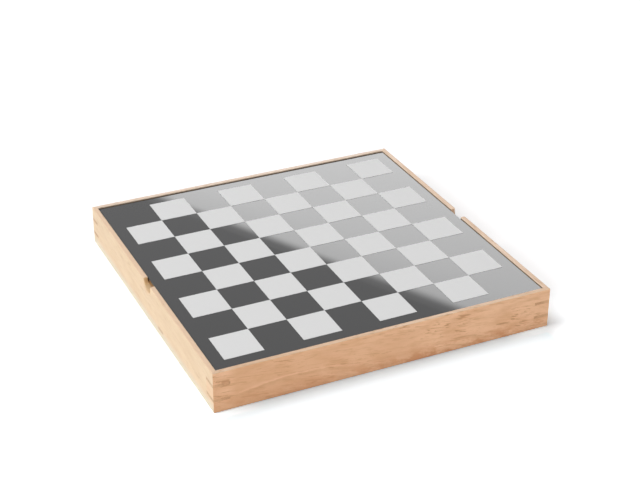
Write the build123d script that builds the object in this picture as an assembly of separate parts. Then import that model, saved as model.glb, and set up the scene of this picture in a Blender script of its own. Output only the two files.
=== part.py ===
from build123d import *
import os

os.makedirs("parts", exist_ok=True)

# A flat, square chess box in millimetres, +Z up. The origin is the middle of the footprint, on the
# surface that the box stands on. The front is towards -Y, and the finger notches are left and right.

# Playing panel
squares_per_side = 8
square_pitch = 40.0
board_border = 13.5
sheet_thickness = 2.0
sheet_edge_round = 0.3
backing_thickness = 3.0
print_thickness = 0.2
print_margin = 0.05

# Walls, and the seat that the panel drops into
box_height = 43.0
rim_width = 5.0
wall_thickness = 12.0
board_recess = 1.5
board_gap = 0.75
outer_round = 0.8
rim_inner_round = 0.5

# Finger notches in the left and right walls
notch_radius = 10.0
notch_edge_round = 2.0

# Keys let across the mitred corners
key_length = 17.0
key_thickness = 3.2
upper_key_below_ledge = 7.3
lower_key_above_base = 7.5

# Base panel and its groove
base_recess = 2.0
base_thickness = 4.0
base_groove_depth = 5.0
base_side_gap = 0.5
base_top_gap = 0.2

# Dividers
divider_thickness = 6.0
divider_housing = 3.0
divider_end_gap = 0.2
divider_side_gap = 0.1
divider_top_gap = 0.3
divider_top_round = 0.8

# Felt liners
felt_thickness = 1.2
felt_gap = 0.5

# Sides of the box, cross dividers and ends, and rows of bays, each with its direction from the middle
across = {"left": -1, "right": 1}
ends = {"front": -1, "back": 1}
rows = {"front": -1, "middle": 0, "back": 1}

# Worked out from the sizes above
board_side = squares_per_side * square_pitch + 2 * board_border
recess_side = board_side + 2 * board_gap
box_side = recess_side + 2 * rim_width
inner_side = box_side - 2 * wall_thickness
board_top = box_height - board_recess
sheet_bottom = board_top - sheet_thickness
ledge_height = sheet_bottom - backing_thickness
base_top = base_recess + base_thickness
key_heights = (base_top + lower_key_above_base, ledge_height - upper_key_below_ledge)
divider_top = ledge_height - divider_top_gap
lap_height = (base_top + divider_top) / 2
divider_slot = divider_thickness + 2 * divider_side_gap
bay_width = (inner_side - divider_thickness) / 2
bay_depth = (inner_side - len(ends) * divider_thickness) / len(rows)
column_offset = (bay_width + divider_thickness) / 2
row_pitch = bay_depth + divider_thickness

# How far a cutter runs past what it cuts, and how close two places are to count as one
overshoot = 1.0
near = 0.01


def block(size_x, size_y, low_z, high_z, x=0.0, y=0.0):
    """A block centred on (x, y) that reaches from low_z to high_z."""
    solid = Box(size_x, size_y, high_z - low_z, align=(Align.CENTER, Align.CENTER, Align.MIN))
    return Pos(x, y, low_z) * solid


def notch_cutter():
    """Both finger notches as one bar along X: half round below the panel's face, straight above it."""
    length = box_side + 2 * overshoot
    bar = Pos(0, 0, board_top) * Rot(0, 90, 0) * Cylinder(notch_radius, length)
    return bar + block(length, 2 * notch_radius, board_top, box_height + overshoot)


def is_notch_edge(edge):
    """Whether an edge is where a finger notch comes out of an outer face."""
    centre = edge.center()
    on_face = abs(abs(centre.X) - box_side / 2) < near
    in_notch = abs(centre.Y) < notch_radius + near and centre.Z > board_top - notch_radius - near
    return on_face and in_notch and centre.Z < box_height - near


def is_outer_edge(edge):
    """Whether an edge is at an outer corner, round the foot, or round the top with the notches' lips."""
    centre = edge.center()
    reach = max(abs(centre.X), abs(centre.Y))
    at_corner = min(abs(centre.X), abs(centre.Y)) > box_side / 2 - near
    at_foot = abs(centre.Z) < near and reach > box_side / 2 - near
    at_top = abs(centre.Z - box_height) < near and reach > recess_side / 2 + near
    return at_corner or at_foot or at_top


def is_rim_edge(edge):
    """Whether an edge runs round the top of the seat, inside the rim."""
    centre = edge.center()
    reach = max(abs(centre.X), abs(centre.Y))
    return abs(centre.Z - box_height) < near and abs(reach - recess_side / 2) < near


def ring_of_walls():
    """The four walls in one piece, cut for the panel, storage, base and fingers, with eased edges."""
    groove_side = inner_side + 2 * base_groove_depth
    ring = block(box_side, box_side, 0, box_height)
    ring -= block(recess_side, recess_side, ledge_height, box_height + overshoot)
    ring -= block(inner_side, inner_side, -overshoot, box_height)
    ring -= block(groove_side, groove_side, base_recess, base_top + base_top_gap)
    ring -= notch_cutter()
    ring = fillet([edge for edge in ring.edges() if is_notch_edge(edge)], notch_edge_round)
    ring = fillet([edge for edge in ring.edges() if is_outer_edge(edge)], outer_round)
    return fillet([edge for edge in ring.edges() if is_rim_edge(edge)], rim_inner_round)


def key_blank(corner_x, corner_y, height):
    """One triangular key across a corner, before it is trimmed flush with the walls."""
    half = box_side / 2
    tip = (corner_x * half, corner_y * half)
    along_x = (corner_x * (half - key_length), corner_y * half)
    along_y = (corner_x * half, corner_y * (half - key_length))
    outline = make_face(Polyline(tip, along_x, along_y, close=True))
    return Pos(0, 0, height - key_thickness / 2) * extrude(outline, key_thickness, dir=(0, 0, 1))


def corner_keys(corner_x, corner_y):
    """The two keys of one corner, flush with the walls."""
    outside = block(box_side, box_side, 0, box_height)
    outside = fillet(outside.edges(), outer_round)
    return [key_blank(corner_x, corner_y, height) & outside for height in key_heights]


def quarter(turn):
    """A wedge from the centre out past one wall, cut at the mitres. Turn 0 is the front wall."""
    outline = make_face(Polyline((0, 0), (-box_side, -box_side), (box_side, -box_side), close=True))
    return Rot(0, 0, turn) * extrude(outline, box_height, dir=(0, 0, 1))


def walls():
    """The four mitred walls, cut for the keys and the divider ends."""
    housing_reach = inner_side + 2 * divider_housing
    ring = ring_of_walls() - block(divider_slot, housing_reach, base_top, box_height)
    for end in ends.values():
        ring -= block(housing_reach, divider_slot, base_top, box_height, y=end * row_pitch / 2)
        for side in across.values():
            for height in key_heights:
                ring -= key_blank(side, end, height)
    names = ("wall_front", "wall_right", "wall_back", "wall_left")
    return {name: ring & quarter(90 * index) for index, name in enumerate(names)}


def base_panel():
    """The thin bottom panel, loose in its groove."""
    side = inner_side + 2 * (base_groove_depth - base_side_gap)
    return block(side, side, base_recess, base_top)


def lap_slot(low_z, high_z, y):
    """Room for the other divider where two dividers cross."""
    return block(divider_slot, divider_slot, low_z, high_z, y=y)


def divider_long():
    """The front-to-back divider, slotted from above for the two that cross it."""
    length = inner_side + 2 * (divider_housing - divider_end_gap)
    solid = block(divider_thickness, length, base_top, divider_top)
    solid = fillet(solid.edges().filter_by(Axis.Y).group_by(Axis.Z)[-1], divider_top_round)
    for end in ends.values():
        solid -= lap_slot(lap_height, box_height, end * row_pitch / 2)
    return solid


def divider_cross(end):
    """A side-to-side divider, slotted from below over the long one."""
    length = inner_side + 2 * (divider_housing - divider_end_gap)
    y = end * row_pitch / 2
    solid = block(length, divider_thickness, base_top, divider_top, y=y)
    solid = fillet(solid.edges().filter_by(Axis.X).group_by(Axis.Z)[-1], divider_top_round)
    return solid - lap_slot(0, lap_height, y)


def felt(column, row):
    """The liner in the bottom of one bay."""
    width = bay_width - 2 * felt_gap
    depth = bay_depth - 2 * felt_gap
    top = base_top + felt_thickness
    return block(width, depth, base_top, top, x=column * column_offset, y=row * row_pitch)


def gloss_sheet():
    """The dark playing sheet, with its upper edge eased."""
    solid = block(board_side, board_side, sheet_bottom, board_top)
    return fillet(solid.edges().group_by(Axis.Z)[-1], sheet_edge_round)


def light_squares():
    """The light squares, a thin print on the sheet. The one nearest the front left corner is light."""
    side = square_pitch - 2 * print_margin
    first = -(squares_per_side - 1) / 2 * square_pitch
    squares = []
    for column in range(squares_per_side):
        for row in range(squares_per_side):
            if (column + row) % 2 == 0:
                x = first + column * square_pitch
                y = first + row * square_pitch
                squares.append(block(side, side, board_top, board_top + print_thickness, x=x, y=y))
    return squares


def all_nodes():
    """Every node's solids, under the name of its file."""
    nodes = {name: [wall] for name, wall in walls().items()}
    for end_name, end in ends.items():
        nodes[f"divider_cross_{end_name}"] = [divider_cross(end)]
        for side_name, side in across.items():
            nodes[f"corner_keys_{end_name}_{side_name}"] = corner_keys(side, end)
    for row_name, row in rows.items():
        for column_name, column in across.items():
            nodes[f"felt_{row_name}_{column_name}"] = [felt(column, row)]
    nodes["divider_long"] = [divider_long()]
    nodes["base_panel"] = [base_panel()]
    nodes["backing_board"] = [block(board_side, board_side, ledge_height, sheet_bottom)]
    nodes["gloss_sheet"] = [gloss_sheet()]
    nodes["light_squares"] = light_squares()
    return nodes


for node, pieces in all_nodes().items():
    solids = [solid for piece in pieces for solid in piece.solids()]
    export_step(Compound(children=solids) if len(solids) > 1 else solids[0], f"parts/{node}.step")
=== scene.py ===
import math

import bpy
from mathutils import Matrix, Vector, noise


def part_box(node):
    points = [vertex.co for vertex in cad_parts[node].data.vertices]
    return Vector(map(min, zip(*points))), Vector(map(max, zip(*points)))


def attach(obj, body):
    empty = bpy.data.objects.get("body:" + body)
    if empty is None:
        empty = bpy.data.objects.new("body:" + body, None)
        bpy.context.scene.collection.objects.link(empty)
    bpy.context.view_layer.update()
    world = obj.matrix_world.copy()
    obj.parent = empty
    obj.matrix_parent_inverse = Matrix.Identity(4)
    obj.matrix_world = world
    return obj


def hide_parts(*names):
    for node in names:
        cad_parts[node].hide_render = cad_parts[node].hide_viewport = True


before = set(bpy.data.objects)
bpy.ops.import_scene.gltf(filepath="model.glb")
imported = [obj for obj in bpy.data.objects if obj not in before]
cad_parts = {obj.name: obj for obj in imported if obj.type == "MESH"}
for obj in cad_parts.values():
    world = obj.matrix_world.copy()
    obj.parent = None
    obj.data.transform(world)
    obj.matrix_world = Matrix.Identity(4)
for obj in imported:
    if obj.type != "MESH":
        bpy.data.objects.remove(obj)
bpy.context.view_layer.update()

# Camera: where it stands in metres, which way it looks, and its lens on a 36 mm sensor
camera_place = Vector((-0.5602, -1.2161, 0.7862))
camera_azimuth = math.radians(25.176)
camera_elevation = math.radians(29.020)
camera_roll = math.radians(0.187)
camera_lens = 82.861
camera_sensor = 36.0

# Light, where a level of 1 shows a white surface as white
sky_level = 0.30
backdrop_level = 1.0
lamp_distance = 6.0
overhead_direction = Vector((-0.30, 0.20, 1.0))
overhead_size = 4.3
overhead_level = 0.75
side_direction = Vector((-1.0, 0.10, 0.84))
side_size = 1.9
side_level = 0.28
fill_direction = Vector((-0.50, -1.0, 0.38))
fill_size = 3.6
fill_level = 0.28

# Floor, as it gives off light, then as it is seen: all round, close in front, close in front at the ends of
# the wall, a little further out in front, beyond the front corners, and far away. Close round the box the
# seen colours are painted light: they lighten the box's shadow and cool its warm tint
floor_reach = 6.0
floor_colour = (0.86, 0.86, 0.86)
floor_round = (0.965, 0.965, 0.975)
floor_close = (0.915, 1.095, 1.21)
floor_ends = (1.22, 1.43, 1.55)
floor_front = (0.895, 0.985, 1.04)
floor_corner = (1.20, 1.235, 1.265)
floor_far = (1.35, 1.35, 1.35)

# Where the floor's colours change, in metres out from the lines of the box's sides
floor_ends_range = (-0.050, -0.020)
floor_front_range = (0.002, 0.012)
floor_round_range = (0.015, 0.050)
floor_beside_range = (0.004, -0.008)
floor_before_range = (-0.01, 0.0)
floor_far_range = (0.03, 0.30)

# The paler floor beyond a front corner, painted light that lightens the box's shadow there: how far out its
# middle is, and from where to where it builds up
floor_corner_out = 0.015
floor_corner_range = (0.085, 0.015)

# How far from the middle the floor turns into plain white backdrop, where the lamps no longer reach
floor_white_range = (0.7, 1.6)

# Bright panel that shows as the pale half of the glossy sheet. The line is on the sheet, in metres.
panel_height = 1.6
panel_level = 4.6
panel_glow = 0.88
panel_line_point = Vector((-0.0115, 0.0))
panel_line_direction = Vector((-0.53, 1.0)).normalized()
panel_edge = (-0.0080, 0.0105)
panel_glow_edge = (-0.014, 0.070)
panel_reach_along = 0.30
panel_reach_across = 0.42

# Colours, as linear red, green and blue: each wall's outer face, then its upward face. They differ partly
# as painted light: the left face is painted paler for its brighter light and sheen, the front face brighter
# to make up for its shade, and the tops greyer as painted sheen
front_face = (0.862, 0.522, 0.309)
front_top = (0.667, 0.475, 0.335)
left_face = (0.765, 0.585, 0.393)
left_top = (0.68, 0.495, 0.350)
back_face = (0.77, 0.50, 0.31)
back_top = (0.72, 0.585, 0.485)
right_face = (0.77, 0.49, 0.30)
right_top = (0.68, 0.505, 0.380)
# Painted light: the paler colour of the rim's inside above the sheet
rim_inside_painted_light = (0.90, 0.74, 0.58)
divider_colour = (0.74, 0.50, 0.32)
cut_colour = (0.62, 0.42, 0.24)
left_cut = (0.69, 0.44, 0.22)
# Painted light: the right wall's end grain is paler than the left's, to light its shaded notch
right_cut = (0.80, 0.54, 0.36)
# The keys' front-facing and side-facing colours differ as painted light, the side paler and greyer like the
# left face
key_face = (0.690, 0.380, 0.205)
key_side = (0.635, 0.420, 0.250)
ply_colour = (0.72, 0.54, 0.36)
hardboard_colour = (0.165, 0.092, 0.044)
hardboard_edge = (0.285, 0.150, 0.052)
sheet_colour = (0.0385, 0.0385, 0.0395)
print_colour = (0.635, 0.635, 0.635)
felt_colour = (0.046, 0.047, 0.052)

# Tones of the beech, as shares of its own colour
pale_on_face = (1.05, 1.08, 1.12)
pale_on_top = (1.05, 1.07, 1.10)
beech_dark = (0.80, 0.71, 0.61)
beech_deep = (0.66, 0.54, 0.43)
blotch_tone = (0.76, 0.58, 0.46)
# Painted light: the left wall's foot, paler and bluer from the white floor
floor_lit_foot_tone = (0.925, 1.07, 1.23)
flush_tone = (1.0, 0.87, 0.80)
notch_tone = (0.78, 0.72, 0.60)
pore_tone = (0.78, 0.74, 0.68)
# Painted shade: the dark tone of the gap between the board and the rim
gap_shade_tone = (0.16, 0.14, 0.13)

# Layers of the beech's grain, drawn out along it: how fine each is along and across the grain, per metre,
# and then its detail, roughness and twist
beech_layers = {
    "cloud": (10, 55, 3, 0.6, 0.8),
    "mottle": (48, 170, 3, 0.6, 0.5),
    "streak": (24, 330, 4, 0.6, 0.4),
    "dash": (70, 600, 3, 0.5, 0.6),
    "fleck": (330, 2100, 2, 0.5),
    "fibre": (90, 2600, 2, 0.6),
    "crowd": (18, 60, 2),
    "pore": (900, 2400, 2),
}
pore_range = (0.45, 0.65)

# Figure of the beech in the order in which it is laid on: a layer, the tone that it brings, the range of
# its values over which that comes in, and the share that it comes to
beech_figure = (
    ("cloud", "pale", 0.42, 0.66, 0.75),
    ("mottle", "dark", 0.50, 0.68, 0.50),
    ("mottle", "pale", 0.48, 0.30, 0.50),
    ("rings", "dark", 0.0, 1.0, 0.34),
    ("streak", "dark", 0.52, 0.72, 0.40),
)
fibre_figure = (0.40, 0.70, 0.14)

# Dashes and flecks: a layer, its range and its share. They crowd where the crowd layer is strong.
beech_spots = (("dash", 0.585, 0.635, 0.95), ("fleck", 0.60, 0.70, 0.45))
crowd_range = (0.42, 0.60)
crowd_least = 0.25

# Growth rings: how far apart they are, how far they wander, and how finely along and across the grain
ring_spacing = 0.0036
ring_wander = 0.011
ring_fineness = (9, 34)

# How far a piece of beech is from another in the grain across it, as a share of how far along it
seed_across = 0.37

# How far a surface is turned for another colour to come in, as parts of its outward direction: the top of
# the beech and the sides of the keys, sawn faces, and end grain
turned_range = (0.45, 0.85)
sawn_range = (0.55, 0.25)
end_grain_range = (0.70, 0.94)

# Front wall, darker towards its left end except beside the keys: the ranges along the wall and upwards
shade_along = (-0.175, 0.05)
shade_share = 0.6
key_clear_along = (-0.156, -0.165)
key_clear_up = (0.008, 0.018)
key_clear_least = 0.25

# Front wall, darker spots low down and more of them to the right
blotch_fineness = (62, 62, 130)
blotch_range = (0.43, 0.57)
blotch_up = (0.006, 0.015)
blotch_along = (-0.06, 0.05)
blotch_least = 0.45
blotch_share = 0.9

# An arch of the grain on the front wall: its middle and half width along the wall, its foot and its rise,
# and the tone, edges and share of its darker band and pale line, where edges are heights above its curve
grain_arch = (-0.100, 0.058, 0.0145, 0.0060)
arch_lines = (
    ("deep", (-0.0075, -0.0025), (0.0, -0.0015), 0.50),
    ("pale", (-0.0008, 0.0004), (0.0022, 0.0010), 0.60),
)

# How far the arch wanders, where it ends, in half widths, and how the mottle thins it
arch_wander = 0.009
arch_ends = (1.1, 0.7)
arch_thinning = (0.38, 0.56)
arch_least = 0.30

# Marks in the grain: their ranges along the wall and upwards, how dark they are, and how soft their edges
front_mark = ((-0.1705, -0.1630), (0.0270, 0.0335), 0.85)
left_mark = ((0.0300, 0.0440), (0.0066, 0.0092), 0.75)
mark_softness = 0.0008

# Where the left wall's face is a little redder, beside its front keys, and up to where its foot is painted
# paler and bluer, as light from the white floor
left_flush = ((0.1630, 0.1790), (0.0110, 0.0270), 0.65)
foot_up = (0.003, 0.011)

# Where the notches end, either way from the middle of their walls, and how their sawn faces fade at the rim
notch_reach = 0.0108
notch_softness = 0.0005
notch_up = (0.0426, 0.0415)
notch_share = 0.8

# Wall of the seat: where it is out from the board's edge, and heights from the sheet's face for the
# painted-light pale strip above it and for the band of painted shade in the gap at the board's edge, whose
# strength comes last
seat_out = (0.0008, 0.0010)
strip_up = 0.0004
gap_shade_head = 0.0005
gap_shade_foot = (-0.0016, -0.0008)
gap_shade_share = 0.72

# Fine dark line along each mitre: its half width and strength
mitre_line_width = (0.00008, 0.00022)
mitre_line_share = 0.55

# Darker tones of the keys, and their paler ends in metres out from the line of the box's sides
key_face_dark = (0.74, 0.66, 0.58)
key_side_dark = (0.78, 0.72, 0.64)
key_corner_range = (-0.012, -0.002)
key_corner_share = 0.6
key_corner_tone = (1.10, 1.16, 1.22)

# Plies, the figure of the plywood's face, and the wire screen that printed the hardboard
ply_thickness = 0.0026
ply_figure_spacing = 0.011
ply_figure_wander = 0.16
screen_pitch = 0.0016

# Roughness of each surface, from its smoothest to its roughest place
beech_roughness = (0.46, 0.58)
key_roughness = (0.48, 0.62)
ply_roughness = (0.55, 0.68)
hardboard_roughness = (0.62, 0.80)
sheet_roughness = (0.008, 0.028)
print_roughness = (0.78, 0.86)
felt_roughness = 0.95

# Depth of each surface's relief in metres
beech_relief = 0.00006
key_relief = 0.00008
ply_relief = 0.00008
hardboard_relief = 0.00012
sheet_relief = 0.00003
print_relief = 0.00002
felt_relief = 0.00035

# Felt liners: their mesh, unevenness, frayed and rounded edges, and how fine those are per metre
felt_cell = 0.0025
felt_wave = 0.00022
felt_fray = 0.00035
felt_edge_round = 0.0005
felt_wave_fineness = 22
felt_lump_fineness = 160
felt_fray_fineness = 90

sheet_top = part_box("gloss_sheet")[1].z
box_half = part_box("wall_right")[1].x
seat_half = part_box("backing_board")[1].x


def feed(tree, socket, value):
    """Feeds a socket from another node's output, or sets its own value."""
    if isinstance(value, bpy.types.NodeSocket):
        tree.links.new(value, socket)
    elif isinstance(value, tuple) and len(value) == 3 and len(socket.default_value) == 4:
        socket.default_value = (*value, 1.0)
    else:
        socket.default_value = value


def scaled(colour, by):
    """A colour with each of its parts scaled, by one number or by its own."""
    factors = by if isinstance(by, tuple) else (by, by, by)
    return tuple(min(1.0, part * factor) for part, factor in zip(colour, factors))


class Graph:
    """The nodes of a material or a world. Each call adds nodes and returns the socket with the result."""

    def __init__(self, owner):
        self.owner = owner
        owner.use_nodes = True
        self.tree = owner.node_tree
        self.tree.nodes.clear()

    def add(self, kind, inputs=(), **settings):
        node = self.tree.nodes.new(kind)
        for key, value in settings.items():
            setattr(node, key, value)
        for key, value in dict(inputs).items():
            feed(self.tree, node.inputs[key], value)
        return node

    def turned(self, vector, turn):
        return self.add("ShaderNodeMapping", {"Vector": vector, "Rotation": (0, 0, turn)}).outputs[0]

    def place(self, turn=0.0):
        """The place on the object in metres, turned about Z."""
        return self.turned(self.add("ShaderNodeTexCoord").outputs["Object"], turn)

    def facing(self, turn=0.0):
        """The surface's outward direction as three sockets, turned about Z."""
        return self.split(self.turned(self.add("ShaderNodeNewGeometry").outputs["Normal"], turn))

    def stretch(self, where, by):
        return self.add("ShaderNodeVectorMath", {0: where, 1: by}, operation="MULTIPLY").outputs[0]

    def split(self, vector):
        return self.add("ShaderNodeSeparateXYZ", {0: vector}).outputs

    def join(self, x, y, z):
        return self.add("ShaderNodeCombineXYZ", {0: x, 1: y, 2: z}).outputs[0]

    def noise(self, where, detail=3.0, rough=0.5, twist=0.0):
        inputs = {"Vector": where, "Scale": 1.0, "Detail": detail, "Roughness": rough, "Distortion": twist}
        return self.add("ShaderNodeTexNoise", inputs).outputs["Fac"]

    def grain(self, where, along, across, *how):
        """Noise drawn out along X, by how fine it is along and across it, per metre."""
        return self.noise(self.stretch(where, (along, across, across)), *how)

    def even(self, where, fineness, *how):
        """Noise that is as fine every way."""
        return self.grain(where, fineness, fineness, *how)

    def math(self, operation, a, b=0.0, c=0.0):
        return self.add("ShaderNodeMath", {0: a, 1: b, 2: c}, operation=operation).outputs[0]

    def times(self, first, *others):
        for other in others:
            first = self.math("MULTIPLY", first, other)
        return first

    def plus(self, a, b):
        return self.math("ADD", a, b)

    def absolute(self, value):
        return self.math("ABSOLUTE", value)

    def diagonal(self, a, b):
        return self.math("SQRT", self.math("MULTIPLY_ADD", a, a, self.times(b, b)))

    def wave(self, value, spacing):
        return self.math("SINE", self.times(value, 2 * math.pi / spacing))

    def spread(self, value, low, high, to_low=0.0, to_high=1.0, smooth=False):
        inputs = {"Value": value, "From Min": low, "From Max": high, "To Min": to_low, "To Max": to_high}
        way = "SMOOTHSTEP" if smooth else "LINEAR"
        return self.add("ShaderNodeMapRange", inputs, interpolation_type=way).outputs[0]

    def between(self, value, rise, fall):
        """1 between two soft edges: the range in which it rises to that, and the one in which it falls."""
        return self.times(self.spread(value, *rise), self.spread(value, *fall))

    def out_from(self, line, value, bounds):
        """How far a value has come through a range that is measured out from a line."""
        return self.spread(value, line + bounds[0], line + bounds[1])

    def mix(self, share, a, b):
        node = self.add("ShaderNodeMix", data_type="RGBA")
        for index, value in ((0, share), (6, a), (7, b)):
            feed(self.tree, node.inputs[index], value)
        return node.outputs[2]

    def tint(self, tone, colour, value, low, high, share=1.0):
        """Mixes a colour into a tone as a value goes from low to high, up to a share."""
        return self.mix(self.spread(value, low, high, 0.0, share), tone, colour)

    def bump(self, height, distance):
        return self.add("ShaderNodeBump", {"Height": height, "Distance": distance}).outputs[0]

    def outside(self, where):
        """How far a place is from the object's middle, by the larger of its x and y."""
        x, y = self.split(where)[:2]
        return self.math("MAXIMUM", self.absolute(x), self.absolute(y))

    def seen_directly(self):
        """1 where a camera ray or a reflection meets the surface, and 0 for the light that it gives off."""
        path = self.add("ShaderNodeLightPath")
        return self.math("MAXIMUM", path.outputs["Is Camera Ray"], path.outputs["Is Glossy Ray"])

    def show(self, shader, kind="Material"):
        self.add(f"ShaderNodeOutput{kind}", {"Surface": shader.outputs[0]})
        return self.owner

    def finish(self, colour, roughness, normal, **fixed):
        """A principled shader. Each name in fixed is a socket's name with _ for its spaces."""
        inputs = {"Base Color": colour, "Roughness": roughness, "Normal": normal}
        inputs.update({name.replace("_", " "): value for name, value in fixed.items()})
        return self.show(self.add("ShaderNodeBsdfPrincipled", inputs))


class Beech(Graph):
    """A piece of beech: where things are on it, its tones, and the layers of its grain."""

    def __init__(self, name, face, top, turn, seed, tilt):
        super().__init__(bpy.data.materials.new(name))
        self.face = face
        self.on_box = self.place()
        self.along_grain = self.place(turn)
        self.x, self.y, self.z = self.split(self.along_grain)
        apart = self.plus(self.x, seed), self.plus(self.y, seed_across * seed)
        self.where = self.join(*apart, self.math("MULTIPLY_ADD", self.x, tilt, self.z))
        self.away = self.facing(turn)
        upward = self.spread(self.away[2], *turned_range)
        # Upward faces take the top colour, which differs from the face partly as painted light and sheen
        self.tones = {
            "plain": self.mix(upward, face, top),
            "pale": self.mix(upward, scaled(face, pale_on_face), scaled(top, pale_on_top)),
            "dark": self.mix(upward, scaled(face, beech_dark), scaled(top, beech_dark)),
            "deep": self.mix(upward, scaled(face, beech_deep), scaled(top, beech_deep)),
        }
        self.layers = {key: self.grain(self.where, *layer) for key, layer in beech_layers.items()}


def rings(wood, pith, lean):
    """Soft growth rings round a pith line that leans out of the plank, so that they arch along it."""
    drift = wood.times(wood.grain(wood.along_grain, *ring_fineness), ring_wander)
    across = wood.plus(wood.math("MULTIPLY_ADD", wood.x, lean, wood.y), -pith[0])
    radius = wood.diagonal(wood.plus(wood.z, -pith[1]), across)
    waves = wood.wave(wood.plus(radius, drift), ring_spacing)
    return wood.math("POWER", wood.math("MULTIPLY_ADD", waves, 0.5, 0.5), 2.0)


def beech_grain(wood, depth):
    """The tone of plain beech: its figure and fibres, and crowds of dashes and flecks."""
    tone = wood.tones["plain"]
    for layer, brought, low, high, share in beech_figure:
        tone = wood.tint(tone, wood.tones[brought], wood.layers[layer], low, high, share * depth)
    tone = wood.tint(tone, wood.tones["dark"], wood.layers["fibre"], *fibre_figure)
    crowd = wood.spread(wood.layers["crowd"], *crowd_range, crowd_least, 1.0)
    for layer, low, high, share in beech_spots:
        spots = wood.spread(wood.layers[layer], low, high, 0.0, share * depth)
        tone = wood.mix(wood.times(spots, crowd), tone, wood.tones["deep"])
    return tone


def mark_share(wood, mark):
    """How much a soft-edged oblong mark covers a place, by its ranges along the wall and upwards."""
    soft = mark_softness
    *sides, strength = mark
    shares = []
    for value, (start, end) in zip((wood.x, wood.z), sides):
        shares.append(wood.between(value, (start - soft, start + soft), (end + soft, end - soft)))
    return wood.times(*shares, strength)


def arch(wood, tone):
    """One arch of the grain, a pale line with a darker band under it, that wanders a little."""
    middle, half_width, foot, rise = grain_arch
    wander = wood.layers["mottle"]
    across = wood.math("DIVIDE", wood.plus(wood.x, -middle), half_width)
    curve = wood.plus(wood.times(across, across, -rise), foot + rise)
    above = wood.plus(wood.z, wood.times(curve, -1.0))
    above = wood.plus(above, wood.math("MULTIPLY_ADD", wander, arch_wander, -arch_wander / 2))
    reach = wood.spread(wood.absolute(across), *arch_ends)
    reach = wood.times(reach, wood.spread(wander, *arch_thinning, arch_least, 1.0))
    for brought, rise_range, fall_range, share in arch_lines:
        line = wood.times(wood.between(above, rise_range, fall_range), reach, share)
        tone = wood.mix(line, tone, wood.tones[brought])
    return tone


def front_marks(wood, tone):
    """The front wall's own marks: a shade towards its left end, the arch, spots, and a mark by a key."""
    by_key = wood.spread(wood.z, *key_clear_up, key_clear_least, 1.0)
    by_key = wood.times(wood.spread(wood.x, *key_clear_along), by_key)
    shade = wood.spread(wood.x, *shade_along, shade_share, 0.0)
    tone = wood.mix(wood.times(shade, wood.math("SUBTRACT", 1.0, by_key)), tone, wood.tones["dark"])
    tone = arch(wood, tone)
    spots = wood.spread(wood.noise(wood.stretch(wood.where, blotch_fineness), 4, 0.62), *blotch_range)
    low = wood.spread(wood.z, *blotch_up, blotch_share, 0.0)
    low = wood.times(low, wood.spread(wood.x, *blotch_along, blotch_least, 1.0))
    tone = wood.mix(wood.times(spots, low), tone, scaled(wood.face, blotch_tone))
    return wood.mix(mark_share(wood, front_mark), tone, wood.tones["deep"])


def left_marks(wood, tone):
    """The left wall's own marks: a foot painted paler and bluer as light from the white floor, a small dark
    mark low down, and a redder patch.
    """
    tone = wood.mix(wood.spread(wood.z, *foot_up, 1.0, 0.0), tone, scaled(wood.face, floor_lit_foot_tone))
    tone = wood.mix(mark_share(wood, left_mark), tone, wood.tones["deep"])
    return wood.mix(mark_share(wood, left_flush), tone, scaled(wood.face, flush_tone))


def cut_faces(wood, tone, cut):
    """Duller faces where the notches are sawn, and end grain where the wood is cut across. The right wall's
    end grain is painted lighter, as painted light in its shaded notch.
    """
    sawn = wood.times(wood.spread(wood.absolute(wood.away[1]), *sawn_range), wood.spread(wood.z, *notch_up))
    in_notch = wood.spread(wood.absolute(wood.x), notch_reach, notch_reach - notch_softness)
    tone = wood.mix(wood.times(sawn, in_notch, notch_share), tone, scaled(wood.face, notch_tone))
    pores = wood.spread(wood.layers["pore"], *pore_range)
    end_grain = wood.mix(pores, cut, scaled(cut, pore_tone))
    return wood.mix(wood.spread(wood.absolute(wood.away[0]), *end_grain_range), tone, end_grain)


def seat_wall(wood, tone):
    """The wall of the seat: painted paler above the sheet's face, as painted light, with a thin band of
    painted shade at its level for the gap.
    """
    edge, past_edge = (seat_half + out for out in seat_out)
    inside = wood.spread(wood.outside(wood.on_box), edge, past_edge, 1.0, 0.0)
    strip = wood.times(inside, wood.spread(wood.z, sheet_top, sheet_top + strip_up))
    # Painted light: the rim's inside above the sheet is painted paler
    tone = wood.mix(strip, tone, rim_inside_painted_light)
    # Painted shade: a dark band on the seat's wall at the sheet's level, for the gap at the board's edge
    head = wood.spread(wood.z, sheet_top + gap_shade_head, sheet_top, 0.0, gap_shade_share)
    gap_shade = wood.times(head, wood.out_from(sheet_top, wood.z, gap_shade_foot), inside)
    return wood.mix(gap_shade, tone, scaled(wood.face, gap_shade_tone))


def mitre_line(wood, tone):
    """The fine dark line where two walls meet."""
    x, y = wood.split(wood.on_box)[:2]
    from_mitre = wood.absolute(wood.math("SUBTRACT", wood.absolute(x), wood.absolute(y)))
    share = wood.spread(from_mitre, *mitre_line_width, mitre_line_share, 0.0)
    return wood.mix(share, tone, wood.tones["deep"])


def beech(name, face, top, cut=cut_colour, turn=0.0, seed=0.0, pith=(-0.13, 0.024), lean=0.06, depth=1.0,
          tilt=0.04, marks=None):
    """Clear-finished beech. Rings, soft streaks and short darker dashes all lie along the grain."""
    wood = Beech(name, face, top, turn, seed, tilt)
    wood.layers["rings"] = rings(wood, pith, lean)
    tone = beech_grain(wood, depth)
    if marks:
        tone = marks(wood, tone)
    tone = cut_faces(wood, tone, cut)
    tone = seat_wall(wood, tone)
    tone = mitre_line(wood, tone)
    shine = wood.spread(wood.layers["streak"], 0.35, 0.65, *beech_roughness)
    height = wood.math("MULTIPLY_ADD", wood.layers["dash"], -0.7, wood.times(wood.layers["fibre"], 0.5))
    return wood.finish(tone, shine, wood.bump(height, beech_relief), Specular_IOR_Level=0.38)


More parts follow.
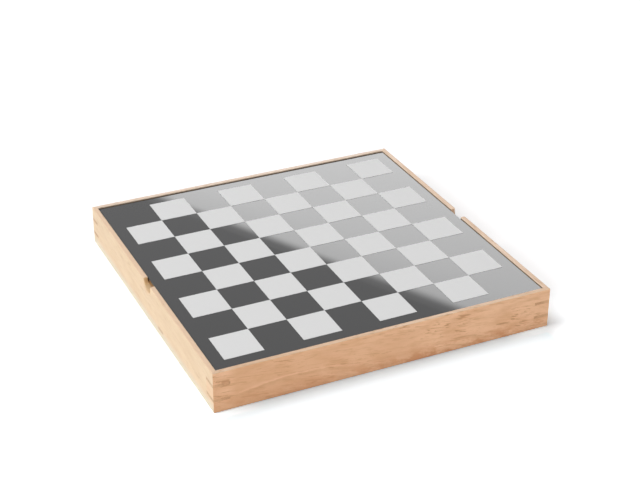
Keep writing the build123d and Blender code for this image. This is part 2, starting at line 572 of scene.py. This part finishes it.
def key_wood(name, turn, seed):
    """The keys' darker beech, paler at the corner. Its grain runs across it, and its faces are duller."""
    g = Graph(bpy.data.materials.new(name))
    x, y, z = g.split(g.place(turn))
    where = g.join(g.plus(x, seed), y, z)
    sideways = g.spread(g.absolute(g.facing()[0]), *turned_range)
    # Side faces take the paler side colour, painted light
    tone = g.mix(sideways, key_face, key_side)
    dark = g.mix(sideways, scaled(key_face, key_face_dark), scaled(key_side, key_side_dark))
    fibre = g.grain(where, 260, 2200, 3, 0.6)
    tone = g.tint(tone, dark, g.grain(where, 140, 420, 4, 0.65, 0.6), 0.40, 0.66)
    tone = g.tint(tone, dark, fibre, 0.45, 0.70, 0.35)
    true_x, true_y = g.split(g.place())[:2]
    inner_reach = g.math("MINIMUM", g.absolute(true_x), g.absolute(true_y))
    start, end = (box_half + out for out in key_corner_range)
    at_corner = g.spread(inner_reach, start, end, 0.0, key_corner_share)
    at_corner = g.times(at_corner, g.math("SUBTRACT", 1.0, sideways))
    tone = g.mix(at_corner, tone, scaled(key_face, key_corner_tone))
    shine = g.spread(fibre, 0.3, 0.7, *key_roughness)
    return g.finish(tone, shine, g.bump(fibre, key_relief), Specular_IOR_Level=0.38)


def plywood():
    """Birch plywood: a plain sliced face, and its plies as lines where an edge shows."""
    g = Graph(bpy.data.materials.new("plywood"))
    where = g.place()
    y, z = g.split(where)[1:]
    dark = scaled(ply_colour, (0.80, 0.72, 0.63))
    cloud = g.grain(where, 5, 28, 4, 0.6, 1.1)
    fibre = g.grain(where, 60, 1900, 3, 0.6)
    pore = g.grain(where, 240, 1700, 2)
    figure = g.wave(g.math("MULTIPLY_ADD", cloud, ply_figure_wander, y), ply_figure_spacing)
    tone = g.tint(ply_colour, dark, figure, -0.6, 1.0, 0.35)
    tone = g.tint(tone, dark, fibre, 0.42, 0.72, 0.40)
    tone = g.tint(tone, scaled(ply_colour, (0.55, 0.45, 0.36)), pore, 0.62, 0.70, 0.55)
    edge = g.spread(g.absolute(g.facing()[2]), 0.5, 0.2)
    plies = g.times(edge, g.spread(g.wave(z, ply_thickness), -0.2, 0.2))
    tone = g.mix(plies, tone, scaled(ply_colour, (0.5, 0.4, 0.3)))
    shine = g.spread(fibre, 0.3, 0.7, *ply_roughness)
    return g.finish(tone, shine, g.bump(fibre, ply_relief), Specular_IOR_Level=0.35)


def hardboard():
    """Brown hardboard: fibres pressed flat on top, and the print of a wire screen underneath."""
    g = Graph(bpy.data.materials.new("hardboard"))
    where = g.place()
    x, y = g.split(where)[:2]
    upward = g.facing()[2]
    fibres = g.even(where, 420, 4, 0.7, 1.5)
    tone = g.tint(scaled(hardboard_colour, (0.80, 0.77, 0.74)), hardboard_colour, fibres, 0.35, 0.68)
    lighter, pale = scaled(hardboard_colour, (1.25, 1.30, 1.35)), scaled(hardboard_colour, (1.7, 1.9, 2.1))
    tone = g.tint(tone, lighter, g.even(where, 22, 3), 0.35, 0.65, 0.35)
    tone = g.tint(tone, pale, g.even(where, 1300, 2), 0.62, 0.72, 0.6)
    cut_edge = g.tint(scaled(hardboard_edge, (0.85, 0.82, 0.80)), hardboard_edge, fibres, 0.35, 0.68)
    tone = g.tint(tone, cut_edge, g.absolute(upward), 0.6, 0.3)
    screen = g.times(g.wave(x, screen_pitch), g.wave(y, screen_pitch), g.spread(upward, -0.5, -0.9))
    relief = g.bump(g.math("MULTIPLY_ADD", screen, 0.8, fibres), hardboard_relief)
    return g.finish(tone, g.spread(fibres, 0.3, 0.7, *hardboard_roughness), relief, Specular_IOR_Level=0.3)


def gloss_sheet():
    """Polished near-black sheet, very slightly wavy, with a faint haze."""
    g = Graph(bpy.data.materials.new("gloss_black"))
    where = g.place()
    tone = g.mix(g.even(where, 700, 3), scaled(sheet_colour, 0.92), scaled(sheet_colour, 1.08))
    shine = g.spread(g.even(where, 14, 4, 0.6), 0.3, 0.7, *sheet_roughness)
    return g.finish(tone, shine, g.bump(g.even(where, 5, 1), sheet_relief))


def light_print():
    """Matt pale ink, laid on evenly with a fine grain."""
    g = Graph(bpy.data.materials.new("light_print"))
    where = g.place()
    grain = g.even(where, 1500, 2)
    cloud = g.even(where, 45, 4, 0.6)
    tone = g.mix(grain, scaled(print_colour, 0.97), scaled(print_colour, 1.025))
    tone = g.tint(tone, print_colour, cloud, 0.35, 0.65, 0.6)
    shine = g.spread(grain, 0.3, 0.7, *print_roughness)
    return g.finish(tone, shine, g.bump(grain, print_relief), Specular_IOR_Level=0.12)


def felt():
    """Pressed wool felt: matted fibres that run every way, a few of them paler, with a soft nap."""
    g = Graph(bpy.data.materials.new("felt"))
    where = g.place()
    mat = g.even(where, 520, 5, 0.72, 2.2)
    lint = g.even(where, 1700, 3, 0.6, 1.0)
    cloud = g.even(where, 26, 4, 0.6)
    tone = g.tint(scaled(felt_colour, 0.60), scaled(felt_colour, 1.5), mat, 0.34, 0.68)
    tone = g.tint(tone, scaled(felt_colour, (0.72, 0.72, 0.74)), cloud, 0.35, 0.65, 0.35)
    tone = g.tint(tone, scaled(felt_colour, (3.4, 3.4, 3.3)), lint, 0.63, 0.72, 0.7)
    relief = g.bump(g.math("MULTIPLY_ADD", lint, 0.5, mat), felt_relief)
    nap = {"Sheen_Weight": 0.25, "Sheen_Roughness": 0.6}
    return g.finish(tone, felt_roughness, relief, Specular_IOR_Level=0.15, **nap)


def paint(node, material):
    """Gives a CAD piece its material."""
    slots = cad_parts[node].data.materials
    slots.clear()
    slots.append(material)


def paint_walls():
    side = math.pi / 2
    front = beech("beech_front", front_face, front_top, seed=0.9, tilt=0.13, marks=front_marks)
    paint("wall_front", front)
    paint("wall_back", beech("beech_back", back_face, back_top, seed=1.7, pith=(0.12, 0.018), lean=-0.05))
    left = beech("beech_left", left_face, left_top, cut=left_cut, turn=side, seed=3.1, pith=(-0.10, 0.03),
                 lean=0.04, depth=0.40, marks=left_marks)
    paint("wall_left", left)
    right = beech("beech_right", right_face, right_top, cut=right_cut, turn=side, seed=4.6,
                  pith=(0.13, 0.012), lean=0.07)
    paint("wall_right", right)


def paint_dividers_and_keys():
    plain = (divider_colour, divider_colour)
    long = beech("beech_divider_long", *plain, turn=math.pi / 2, seed=7.2, pith=(0.05, 0.02))
    paint("divider_long", long)
    for index, end in enumerate(("front", "back")):
        cross = beech(f"beech_divider_{end}", *plain, seed=8.4 + index, pith=(0.0, 0.015))
        paint(f"divider_cross_{end}", cross)
        for wall in ("left", "right"):
            turn = math.radians(45 if (end == "front") == (wall == "left") else -45)
            node = f"corner_keys_{end}_{wall}"
            paint(node, key_wood(node, turn, 0.4 * index))


def paint_panels():
    paint("base_panel", plywood())
    paint("gloss_sheet", gloss_sheet())
    paint("light_squares", light_print())
    paint("backing_board", hardboard())


def add_object(name, data):
    piece = bpy.data.objects.new(name, data)
    bpy.context.scene.collection.objects.link(piece)
    return piece


def add_mesh(name, corners, faces):
    mesh = bpy.data.meshes.new(name)
    mesh.from_pydata(corners, [], faces)
    return add_object(name, mesh)


def add_rectangle(name, low_x, high_x, half_y):
    corners = [(low_x, -half_y, 0), (high_x, -half_y, 0), (high_x, half_y, 0), (low_x, half_y, 0)]
    return add_mesh(name, corners, [(0, 1, 2, 3)])


def felt_height(x, y, seed):
    """How far the felt's surface is from level at a place: slow waves and a finer lumpiness."""
    slow = noise.noise(Vector((felt_wave_fineness * x, felt_wave_fineness * y, seed)))
    fine = noise.noise(Vector((felt_lump_fineness * x, felt_lump_fineness * y, seed + 3)))
    return felt_wave * (0.7 * slow + 0.5 * fine)


def fray(x, y, seed):
    """How far the felt's cut edge is frayed back at a place along it."""
    place = Vector((felt_fray_fineness * x, felt_fray_fineness * y, seed))
    return felt_fray * abs(noise.noise(place))


def felt_corners(low, high, across, along, seed):
    """The points of a felt's two faces in rows, its upper face first."""
    corners = []
    for layer in ("top", "bottom"):
        for j in range(along + 1):
            for i in range(across + 1):
                x = low.x + (high.x - low.x) * i / across
                y = low.y + (high.y - low.y) * j / along
                rim = i in (0, across) or j in (0, along)
                fray_x = fray(0.0, y, seed + 5) if rim else 0.0
                fray_y = fray(x, 0.0, seed + 6) if rim else 0.0
                round_off = felt_edge_round if rim and layer == "top" else 0.0
                x += (fray_x + round_off) * ((i == 0) - (i == across))
                y += (fray_y + round_off) * ((j == 0) - (j == along))
                drop = 0.8 * felt_edge_round if rim else 0.0
                z = low.z if layer == "bottom" else high.z - felt_wave + felt_height(x, y, seed) - drop
                corners.append((x, y, z))
    return corners


def felt_faces(across, along):
    """The faces of a felt: its upper and lower face, and the four edges between them."""
    faces = []
    width = across + 1
    under = width * (along + 1)
    for j in range(along):
        for i in range(across):
            a = j * width + i
            faces.append((a, a + 1, a + 1 + width, a + width))
            faces.append((a + under, a + width + under, a + 1 + width + under, a + 1 + under))
    for i in range(across):
        back = along * width + i
        faces.append((i, i + under, i + 1 + under, i + 1))
        faces.append((back, back + 1, back + 1 + under, back + under))
    for j in range(along):
        left, right = j * width, j * width + across
        faces.append((left, left + width, left + width + under, left + under))
        faces.append((right, right + under, right + width + under, right + width))
    return faces


def make_felt(row, side, material):
    """A felt liner in its bay: a thin closed slab with a soft upper edge, cut slightly unevenly."""
    node = f"felt_{row}_{side}"
    low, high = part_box(node)
    seed = low.x * 10 + low.y * 7
    across = round((high.x - low.x) / felt_cell)
    along = round((high.y - low.y) / felt_cell)
    corners = felt_corners(low, high, across, along, seed)
    faces = felt_faces(across, along)
    piece = add_mesh(f"{node}_cloth", corners, faces)
    piece.data.polygons.foreach_set("use_smooth", [True] * len(faces))
    piece.data.materials.append(material)
    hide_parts(node)
    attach(piece, "box")


def make_felts():
    material = felt()
    for row in ("front", "middle", "back"):
        for side in ("left", "right"):
            make_felt(row, side, material)


def view_direction():
    """The way that the camera looks."""
    level = math.cos(camera_elevation)
    east, north = math.sin(camera_azimuth) * level, math.cos(camera_azimuth) * level
    return Vector((east, north, -math.sin(camera_elevation)))


def make_camera():
    data = bpy.data.cameras.new("camera")
    data.lens = camera_lens
    data.sensor_width = camera_sensor
    camera = add_object("camera", data)
    level = view_direction().to_track_quat("-Z", "Y")
    camera.location = camera_place
    camera.rotation_mode = "QUATERNION"
    camera.rotation_quaternion = level @ Matrix.Rotation(camera_roll, 3, "Z").to_quaternion()
    bpy.context.scene.camera = camera


def floor_tone(g, where):
    """The floor's colour as it is seen. Close round the box it is painted light, which lightens and cools
    the box's shadow; further out it is plain and bright.
    """
    x, y = g.split(where)[:2]
    sideways = g.absolute(x)
    before = g.times(y, -1.0)
    seen = g.mix(g.out_from(box_half, sideways, floor_ends_range), floor_close, floor_ends)
    seen = g.mix(g.out_from(box_half, before, floor_front_range), seen, floor_front)
    seen = g.mix(g.out_from(box_half, before, floor_round_range), seen, floor_round)
    past_corner = g.plus(sideways, -(box_half + floor_corner_out))
    from_corner = g.diagonal(g.plus(before, -box_half), past_corner)
    build_up = g.spread(from_corner, *floor_corner_range, smooth=True)
    around = g.mix(build_up, floor_round, floor_corner)
    beside = g.out_from(box_half, sideways, floor_beside_range)
    in_front = g.out_from(box_half, before, floor_before_range)
    seen = g.mix(g.times(in_front, beside), around, seen)
    return g.mix(g.out_from(box_half, g.outside(where), floor_far_range), seen, floor_far)


def make_floor():
    floor = add_rectangle("floor", -floor_reach, floor_reach, floor_reach)
    g = Graph(bpy.data.materials.new("floor"))
    where = g.place()
    seen_directly = g.seen_directly()
    colour = g.mix(seen_directly, floor_colour, floor_tone(g, where))
    lit = g.add("ShaderNodeBsdfDiffuse", {"Color": colour})
    white = g.add("ShaderNodeEmission", {"Strength": backdrop_level})
    distant = g.times(seen_directly, g.spread(g.outside(where), *floor_white_range))
    both = g.add("ShaderNodeMixShader", {0: distant, 1: lit.outputs[0], 2: white.outputs[0]})
    floor.data.materials.append(g.show(both))


def make_world():
    g = Graph(bpy.data.worlds.new("studio"))
    level = g.spread(g.seen_directly(), 0.0, 1.0, sky_level, backdrop_level)
    sky = g.add("ShaderNodeBackground", {"Strength": level})
    bpy.context.scene.world = g.show(sky, "World")


def make_lamp(name, direction, size, level):
    """A square soft box that faces the object. Level is how bright it makes a white surface facing it."""
    data = bpy.data.lights.new(name, "AREA")
    data.shape = "SQUARE"
    data.size = size
    data.energy = level * (math.pi * lamp_distance) ** 2
    lamp = add_object(name, data)
    lamp.location = direction.normalized() * lamp_distance
    lamp.rotation_mode = "QUATERNION"
    lamp.rotation_quaternion = (-direction).to_track_quat("-Z", "Y")
    lamp.visible_camera = False
    lamp.visible_glossy = False


def panel_light(growth):
    """The panel's own light, a bright body with a faint glow beyond its near edge."""
    g = Graph(bpy.data.materials.new("panel"))
    reach = g.split(g.place())[0]
    start, end = (edge * growth for edge in panel_edge)
    glow_start, glow_end = (edge * growth for edge in panel_glow_edge)
    gain = panel_level - backdrop_level
    core = g.spread(reach, start, end, backdrop_level, backdrop_level + gain * panel_glow, smooth=True)
    glow = g.spread(reach, glow_start, glow_end, 0.0, gain * (1 - panel_glow), smooth=True)
    return g.show(g.add("ShaderNodeEmission", {"Strength": g.plus(core, glow)}))


def make_panel():
    """The bright level panel, behind and above. It is seen only in reflections, and its near edge fades."""
    mirrored = Vector((camera_place.x, camera_place.y))
    depth = camera_place.z - sheet_top
    growth = (depth + panel_height) / depth
    centre = mirrored + (panel_line_point - mirrored) * growth
    near, far = panel_glow_edge[0] * growth, panel_reach_across * growth
    panel = add_rectangle("panel", near, far, panel_reach_along * growth)
    across = Vector((panel_line_direction.y, -panel_line_direction.x))
    turn = Matrix(((*across, 0), (*panel_line_direction, 0), (0, 0, 1))).transposed()
    panel.matrix_world = Matrix.Translation((*centre, sheet_top + panel_height)) @ turn.to_4x4()
    panel.data.materials.append(panel_light(growth))
    panel.visible_camera = False
    panel.visible_diffuse = False
    panel.visible_shadow = False
    panel.visible_transmission = False


make_camera()
paint_walls()
paint_dividers_and_keys()
paint_panels()
make_felts()
make_floor()
make_world()
make_lamp("overhead", overhead_direction, overhead_size, overhead_level)
make_lamp("side", side_direction, side_size, side_level)
make_lamp("fill", fill_direction, fill_size, fill_level)
make_panel()

bpy.context.scene.view_settings.view_transform = "Standard"
